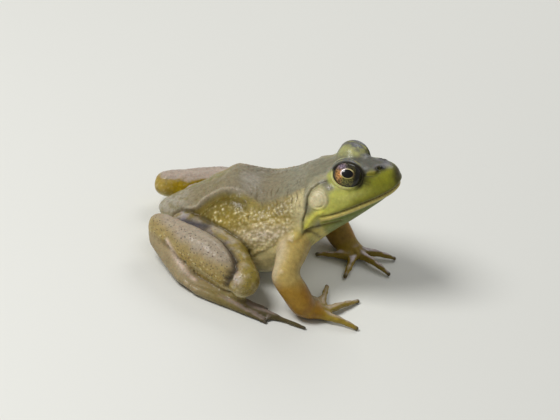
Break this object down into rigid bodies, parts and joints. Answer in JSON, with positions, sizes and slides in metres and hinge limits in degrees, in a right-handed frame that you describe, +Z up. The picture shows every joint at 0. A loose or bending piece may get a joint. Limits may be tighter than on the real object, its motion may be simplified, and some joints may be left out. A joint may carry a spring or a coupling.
{
  "type": "american bullfrog",
  "caption": "American bullfrog, young and life size, sitting alert with its hind legs folded, its fore legs braced and its head raised.",
  "frame": {"origin": "the middle of the bounding box on the floor plane", "axes": "+Z up, +X the way the snout points, +Y to the frog's left"},
  "size_m": [0.0876, 0.0758, 0.0518],
  "materials": {
    "back_skin": "wet olive-tan skin with raised granules",
    "head_skin": "wet skin, green on the lip and grey-olive on top",
    "throat_skin": "smooth pale yellow-green skin",
    "limb_skin": "wet tan and ochre skin with dark flecks",
    "ear_drum": "thin smooth beige membrane",
    "eye": "wet, glossy, gold and dark brown iris round a black pupil"
  },
  "bodies": {
    "root": {"trunk": "back_skin", "head": "head_skin", "lower_jaw": "throat_skin", "eye_left": "eye", "eye_right": "eye", "tympanum_left": "ear_drum", "tympanum_right": "ear_drum", "upper_arm_left": "limb_skin", "forearm_left": "limb_skin", "hand_left": "limb_skin", "finger_1_left": "limb_skin", "finger_2_left": "limb_skin", "finger_3_left": "limb_skin", "finger_4_left": "limb_skin", "thigh_left": "limb_skin", "shank_left": "limb_skin", "tarsus_left": "limb_skin", "foot_left": "limb_skin", "upper_arm_right": "limb_skin", "forearm_right": "limb_skin", "hand_right": "limb_skin", "finger_1_right": "limb_skin", "finger_2_right": "limb_skin", "finger_3_right": "limb_skin", "finger_4_right": "limb_skin", "thigh_right": "limb_skin", "shank_right": "limb_skin", "tarsus_right": "limb_skin", "foot_right": "limb_skin"}
  },
  "joints": []
}
